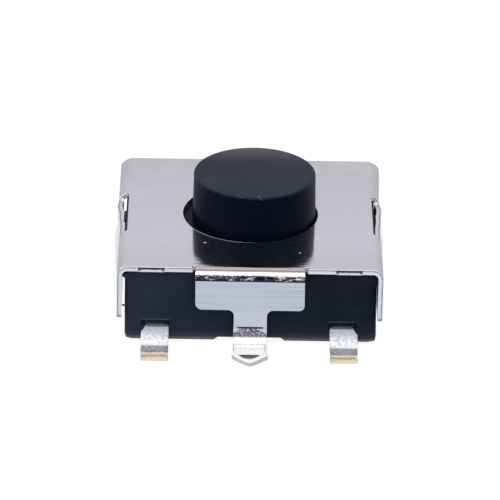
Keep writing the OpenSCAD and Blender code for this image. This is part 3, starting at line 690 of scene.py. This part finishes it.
for loop in loops:
    for distance in (0.0, CUT_ROUND * 0.12, CUT_ROUND * 0.4, CUT_ROUND, CUT_ROUND + 0.012):
        lay(inset(loop, distance) if distance else loop, closed=True)
for side in (-1, 1):
    for u in spread(SIDE_FROM, SIDE_FROM + QUARTER, QUARTER / 12, 0.03):
        lay([(side * u, v) for v in spread(-PLATE_Y, PLATE_Y, 0.11)])
    for u in spread(SIDE_FROM + QUARTER + 0.12, SIDE_END - 0.04, 0.15):
        lay([(side * u, v) for v in spread(-1.3, 1.3, 0.05)])
    for v in spread(-1.3, 1.3, 0.05):
        lay([(side * u, v) for u in (SLIT_TO if abs(v) < SLIT_HALF else SIDE_FROM + QUARTER, SIDE_END)])
    for v in spread(FLAP_FROM, FLAP_FROM + QUARTER, QUARTER / 12, 0.03):
        lay([(u, side * v) for u in spread(-FLAP_HALF, FLAP_HALF, 0.11)])
for v in spread(HEEL_FROM, HEEL_END, LEG_BEND * math.pi / 16, 0.03):
    lay([(u, -v) for u in spread(-LEG_HALF, LEG_HALF, 0.08)])
net = delaunay_2d_cdt(points, edges, [], 0, 1e-6)
net_points = np.array([tuple(p) for p in net[0]])
net_faces = np.array(net[2])


def inside_of(loop, at):
    """For each point, whether it lies inside a closed loop."""
    ring = np.array(loop)
    after = np.roll(ring, -1, axis=0)
    crossings = np.zeros(len(at), dtype=int)
    for (u0, v0), (u1, v1) in zip(ring, after):
        spans = (v0 > at[:, 1]) != (v1 > at[:, 1])
        if v0 != v1:
            crossings += spans & (at[:, 0] < (u1 - u0) * (at[:, 1] - v0) / (v1 - v0) + u0)
    return crossings % 2 == 1


centres = net_points[net_faces].mean(axis=1)
kept = inside_of(loops[0], centres)
for loop in loops[1:]:
    kept &= ~inside_of(loop, centres)
near = np.full(len(net_points), np.inf)
for loop in loops:
    ring = np.array(loop)
    for start, stop in zip(ring, np.roll(ring, -1, axis=0)):
        along = stop - start
        t = np.clip(((net_points - start) @ along) / (along @ along), 0, 1)
        near = np.minimum(near, np.linalg.norm(net_points - start - t[:, None] * along, axis=1))

bm = bmesh.new()
deepness = bm.verts.layers.float.new("deep")
upper, lower = {}, {}
for i in sorted(set(net_faces[kept].flatten())):
    u, v = net_points[i]
    short = max(0.0, CUT_ROUND - near[i])
    rolled = CUT_ROUND - math.sqrt(max(0.0, CUT_ROUND ** 2 - short ** 2))
    upper[i] = bm.verts.new(fold(u, v, rolled))
    lower[i] = bm.verts.new(fold(u, v, SHEET))
    upper[i][deepness] = rolled / SHEET
    lower[i][deepness] = 1.0
rim = {}
for a, b, c in net_faces[kept]:
    area = np.cross(net_points[b] - net_points[a], net_points[c] - net_points[a])
    a, b, c = (a, b, c) if area > 0 else (a, c, b)
    bm.faces.new((upper[a], upper[b], upper[c]))
    bm.faces.new((lower[c], lower[b], lower[a]))
    for e in ((a, b), (b, c), (c, a)):
        rim[frozenset(e)] = None if frozenset(e) in rim else e
for e in rim.values():
    if e:
        bm.faces.new((upper[e[1]], upper[e[0]], lower[e[0]], lower[e[1]]))

# Stubs on the front edge, where the carrier strip of the press was sheared off: thinner and torn
for side in (-1, 1):
    known = set(bm.verts)
    block(bm, (side * STUB_X - STUB_W / 2, -PLATE_Y - STUB_OUT, STUB_LOW),
          (side * STUB_X + STUB_W / 2, -PLATE_Y + 0.03, STUB_TOP), 0.008)
    for vert in set(bm.verts) - known:
        vert[deepness] = 0.30 if vert.co.z > STUB_TOP - 0.02 else 0.75
bmesh.ops.dissolve_degenerate(bm, dist=0.0001, edges=bm.edges)

# Stainless sheet, rolled bright: a near mirror that reads as pale lilac grey, with fine rolling lines
# across the switch that fray what it mirrors. Its cut edges are paler, with a darker sheared strip next to
# the outer face. The bends of the flaps are rough like orange peel and painted with the light they mirror,
# and the lower leg and the ground foot are painted white as a painted highlight.
bright_sheet, tree, mm = plain_surface("stainless_sheet_rolled_bright")
apart = add(tree, "ShaderNodeSeparateXYZ", {0: mm})
X, Z = apart.outputs["X"], apart.outputs["Z"]
ahead = add(tree, "ShaderNodeMath", {0: apart.outputs["Y"], 1: -1.0}, operation="MULTIPLY")
out_end = add(tree, "ShaderNodeMath", {0: apart.outputs["Y"]}, operation="ABSOLUTE")
out_side = add(tree, "ShaderNodeMath", {0: X}, operation="ABSOLUTE")
cut_depth = add(tree, "ShaderNodeAttribute", attribute_name="deep").outputs["Fac"]

# Rolling lines lie across the switch, 1.4 mm long and about 0.07 mm apart, and stand upright on the side
# walls. The brush marks are finer. For each: lines per millimetre on the plate and on the walls.
on_side = zone((out_side, 3.13, 3.6, 0.02))
streaks = []
for plate_scale, wall_scale, detail, rough in (((0.7, 14.0, 14.0), (14.0, 14.0, 0.7), 3.0, 0.6),
                                               ((0.35, 30.0, 30.0), (30.0, 30.0, 0.35), 2.0, 0.5)):
    scale = add(tree, "ShaderNodeMix", {0: on_side, 4: plate_scale, 5: wall_scale}, data_type="VECTOR")
    place = add(tree, "ShaderNodeVectorMath", {0: mm, 1: scale}, operation="MULTIPLY")
    streaks.append(add(tree, "ShaderNodeTexNoise", {"Vector": place, "Scale": 1.0, "Detail": detail,
                                                    "Roughness": rough}))
lines, brush = streaks
cloud = add(tree, "ShaderNodeTexNoise", {"Vector": mm, "Scale": 0.8, "Detail": 2.0})
peel = add(tree, "ShaderNodeTexNoise", {"Vector": mm, "Scale": 16.0, "Detail": 3.0, "Roughness": 0.65})
broad = add(tree, "ShaderNodeTexNoise", {"Vector": mm, "Scale": 3.0, "Detail": 4.0, "Roughness": 0.6})
grain_place = add(tree, "ShaderNodeVectorMath", {0: mm, 1: (16.0, 26.0, 26.0)}, operation="MULTIPLY")
grain = add(tree, "ShaderNodeTexNoise", {"Vector": grain_place, "Scale": 1.0, "Detail": 2.0})
drawn_place = add(tree, "ShaderNodeVectorMath", {0: mm, 1: (6.0, 14.0, 20.0)}, operation="MULTIPLY")
drawn = add(tree, "ShaderNodeTexNoise",
            {"Vector": drawn_place, "Scale": 1.0, "Detail": 4.0, "Roughness": 0.7})

# Plate: a little darker at the back, clouded, with an even fine grain. The flap and the walls are painted
# bluer, a painted reflection of the table in front.
plate_back = add(tree, "ShaderNodeMapRange", {"Value": ahead, "From Min": -3.0, "From Max": 2.5})
clouded = add(tree, "ShaderNodeMapRange", {"Value": cloud, "From Min": 0.45, "From Max": 0.7})
faint = add(tree, "ShaderNodeMapRange", {"Value": grain, "From Min": 0.35, "From Max": 0.65, "To Max": 0.15})
upright_part = zone((Z, 0.5, 1.775))
flap_face_and_reflection = add(tree, "ShaderNodeValToRGB", {0: brush}, stops=(
    (0.28, "#989eac"), (0.38, "#b0b7c6"), (0.60, "#b9c0ce")))
calmer = add(tree, "ShaderNodeMath", {0: on_side, 1: 0.6}, operation="MULTIPLY")
layers = [(plate_back, "#d2d2da"), (clouded, "#cfcfd7"), (zone((ahead, 2.2, 3.2, 0.5)), "#cbc9cf"),
          (faint, "#b2b2bb"), (upright_part, flap_face_and_reflection), (zone(calmer, upright_part), "#b7becb")]

# Bends of the flaps, painted with the light they mirror: a warm strip of painted reflection with a thin dark
# line, a painted highlight on the round, then the rough orange peel where the bend drew the sheet out,
# painted dark as a painted reflection of the dark front, and a painted dark line of changing width below it
near_flap = zone((out_side, -1.0, 1.31), (out_end, 2.95, 3.40))
near_front = zone(near_flap, (ahead, 2.95, 3.40))
peel_dark_reflection_tone = add(tree, "ShaderNodeValToRGB", {0: drawn}, stops=(
    (0.42, "#12151d"), (0.50, "#3b3c48"), (0.56, "#8d8b96"), (0.64, "#f0f0f0")))
rough_low = add(tree, "ShaderNodeMath", {0: peel, 1: 0.06, 2: 1.752}, operation="MULTIPLY_ADD")
rough_top = add(tree, "ShaderNodeMath", {0: peel, 1: 0.08, 2: 1.856}, operation="MULTIPLY_ADD")
above = add(tree, "ShaderNodeMath", {0: Z, 1: rough_low}, operation="GREATER_THAN")
below = add(tree, "ShaderNodeMath", {0: Z, 1: rough_top}, operation="LESS_THAN")
peel_and_dark_reflection_band = zone(near_flap, above, below)
line_top = add(tree, "ShaderNodeMath", {0: broad, 1: 0.16, 2: 1.718}, operation="MULTIPLY_ADD")
under_top = add(tree, "ShaderNodeMath", {0: Z, 1: line_top}, operation="LESS_THAN")
layers += [(zone(near_front, (Z, 1.957, 2.05, 0.004)), "#c0b5b8"),
           (zone(near_front, (Z, 1.983, 1.995, 0.004)), "#857a7c"),
           (zone(near_flap, (Z, 1.888, 1.956, 0.006)), "#f6f2ec"),
           (peel_and_dark_reflection_band, peel_dark_reflection_tone),
           (zone(near_flap, (Z, 1.754, 1.86, 0.006), under_top), "#232731")]

# Ground leg and foot. The leg's face is painted pale blue, a painted reflection of the table in front, and
# its lower part and the foot are painted white, a painted highlight. From the top: the creased inside of the
# bend, painted dark as a painted reflection, under a dark slit; the broken frame and the faint line that the
# press left; and the crescent dent of the tip, painted dark as a painted reflection of the slit and the
# crease.
on_leg = zone((out_side, -1.0, 0.5), (ahead, 3.1, 5.0))
squared = add(tree, "ShaderNodeMath", {0: X, 1: X}, operation="MULTIPLY")
bulge = add(tree, "ShaderNodeMath", {0: squared, 1: 0.9, 2: Z}, operation="MULTIPLY_ADD")
crease_dark_reflection = add(tree, "ShaderNodeValToRGB", {0: peel}, stops=(
    (0.38, "#4b4a5e"), (0.52, "#716f85"), (0.60, "#9fa1b3"), (0.70, "#f4f4f6")))
slit_low = add(tree, "ShaderNodeMath", {0: peel, 1: 0.03, 2: 0.498}, operation="MULTIPLY_ADD")
over_low = add(tree, "ShaderNodeMath", {0: Z, 1: slit_low}, operation="GREATER_THAN")
broken = add(tree, "ShaderNodeMapRange", {"Value": peel, "From Min": 0.38, "From Max": 0.55})
curve = add(tree, "ShaderNodeMath", {0: squared, 1: -3.3, 2: 4.08}, operation="MULTIPLY_ADD")
curve_in = add(tree, "ShaderNodeMath", {0: curve, 1: ahead}, operation="SUBTRACT")
to_tip = add(tree, "ShaderNodeMapRange", {"Value": ahead, "From Min": 3.83, "From Max": 4.06})
# The crescent dent's tones are a painted reflection of the slit and the crease above it
dent_reflection_tone = add(tree, "ShaderNodeValToRGB", {0: to_tip}, stops=(
    (0.0, "#2b383a"), (0.25, "#404a50"), (0.45, "#4c4350"), (1.0, "#8d7e8b")))
layers += [(zone(on_leg, (Z, 0.55, 0.95, 0.05)), "#bcc3d0"),
           (zone(on_leg, (bulge, -0.1, 0.530, 0.02)), crease_dark_reflection),
           (zone(on_leg, (Z, 0.40, 0.562, 0.006), over_low, (X, -0.285, 0.325, 0.03)), "#16222a"),
           (zone(on_leg, (Z, -0.1, 0.285, 0.02)), "#ffffff"),
           (zone(on_leg, (X, -0.37, 0.40), (ahead, 3.300, 3.330, 0.008), broken), "#85858b"),
           (zone(on_leg, (out_side, 0.362, 0.378, 0.006), (ahead, 3.315, 3.66, 0.06)), "#a9a9ae"),
           (zone(on_leg, (X, -0.34, 0.38), (ahead, 3.51, 3.55, 0.012), broken), "#cfd3d1"),
           (zone(on_leg, (ahead, 3.85, 4.2, 0.008), (curve_in, 0.0, 1.0, 0.02)), dent_reflection_tone)]

# Cut edges: 'deep' runs from 0 on the outer face to 1 on the inner one. The ends of the walls are darker. A
# painted shadow lies in the step over each carrier stub, and widens at both ends of the stub.
torn = add(tree, "ShaderNodeMath", {0: peel, 1: 0.5, 2: -0.25}, operation="MULTIPLY_ADD")
torn = add(tree, "ShaderNodeMath", {0: torn, 1: cut_depth}, operation="ADD")
edge_tone = add(tree, "ShaderNodeValToRGB", {0: torn}, stops=(
    (0.0, "#d6d7de"), (0.14, "#9fa0a8"), (0.28, "#84858d"), (0.38, "#d2d4dd"), (1.0, "#d8dae3")))
sheared = zone((cut_depth, 0.12, 0.97, 0.02))
stub_mid = add(tree, "ShaderNodeMath", {0: out_side, 1: STUB_X}, operation="SUBTRACT")
stub_mid = add(tree, "ShaderNodeMath", {0: stub_mid}, operation="ABSOLUTE")
stub_shadow_line = zone((stub_mid, -1.0, 0.30), (Z, 1.970, 2.000, 0.004))
stub_shadow_ends = zone((stub_mid, 0.25, 0.315, 0.02), (Z, 1.93, 2.006, 0.01))
stub_shadow = add(tree, "ShaderNodeMath", {0: stub_shadow_line, 1: stub_shadow_ends}, operation="MAXIMUM")
stub_shadow = add(tree, "ShaderNodeMath", {0: zone(stub_shadow, (ahead, 3.04, 3.3, 0.005)), 1: 0.85}, operation="MULTIPLY")
layers += [(zone((cut_depth, 0.10, 0.97, 0.02)), edge_tone),
           (zone(on_leg, (Z, -0.1, 0.13), sheared), "#bfbbb9"),
           (zone((out_side, 3.0, 3.4), sheared, (Z, 0.5, 0.725, 0.045)), "#686a70"),
           (stub_shadow, "#2f323c")]

# Pale marks, made less metallic: a painted highlight along the front left of the hole's rim, and two small
# pale spots by position and radius
ring_at = add(tree, "ShaderNodeVectorMath", {0: mm, 1: (1, 1, 0)}, operation="MULTIPLY")
ring_at = add(tree, "ShaderNodeVectorMath", {0: ring_at}, operation="LENGTH")
lit_side = add(tree, "ShaderNodeMath", {0: X, 1: -0.8, 2: ahead}, operation="MULTIPLY_ADD")
rim_highlight = zone((ring_at, 1.655, 1.685, 0.012), (lit_side, 1.75, 9.0, 0.25), (Z, 2.0, 2.1))
rim_highlight_and_spots = add(tree, "ShaderNodeMath", {0: rim_highlight, 1: 0.55}, operation="MULTIPLY")
for speck_x, speck_y, size in ((-1.089, -1.703, 0.032), (1.185, -2.192, 0.024)):
    off = add(tree, "ShaderNodeVectorMath", {0: mm, 1: (speck_x, speck_y, PLATE_Z)}, operation="DISTANCE")
    rim_highlight_and_spots = add(tree, "ShaderNodeMath", {0: rim_highlight_and_spots, 1: zone((off, -1.0, size, 0.008))},
                     operation="MAXIMUM")

# The layers lie over the bare sheet's colour in their order
colour = "#c6c6ce"
for mask, tone in layers:
    colour = add(tree, "ShaderNodeMix", {0: mask, 6: colour, 7: tone}, data_type="RGBA")
# The lower leg and the foot, painted white as a painted highlight, are also matt and less metallic
painted_white_foot = zone(on_leg, (Z, -0.1, 0.55, 0.02))
dull = add(tree, "ShaderNodeMapRange", {"Value": lines, "To Min": 0.05, "To Max": 0.13})
for mask, roughness in ((zone((cut_depth, 0.985, 2.0, 0.005)), 0.02),
                        (zone((cut_depth, 0.13, 0.97, 0.02)), 0.40), (painted_white_foot, 0.55)):
    dull = add(tree, "ShaderNodeMix", {0: mask, 2: dull, 3: roughness})
metal = add(tree, "ShaderNodeMapRange", {"Value": painted_white_foot, "To Min": 0.992, "To Max": 0.14})
metal = add(tree, "ShaderNodeMix", {0: rim_highlight_and_spots, 2: metal, 3: 0.2})
edge_shade = add(tree, "ShaderNodeMix", {0: zone((Z, 1.76, 2.5, 0.05)), 6: "#ffffff", 7: "#c8c8ce"},
                 data_type="RGBA")
line_relief = add(tree, "ShaderNodeBump", {"Height": lines, "Distance": 0.0000022})
relief = add(tree, "ShaderNodeBump",
             {"Height": zone(peel_and_dark_reflection_band, peel), "Distance": 0.000008, "Normal": line_relief})
shader = add(tree, "ShaderNodeBsdfPrincipled", {"Base Color": colour, "Metallic": metal, "Roughness": dull,
                                                "Normal": relief, "Specular Tint": edge_shade})
add(tree, "ShaderNodeOutputMaterial", {"Surface": shader})
finish_piece(bm, "folded_cover", bright_sheet, "housing", "cover", sharp_angle=38)
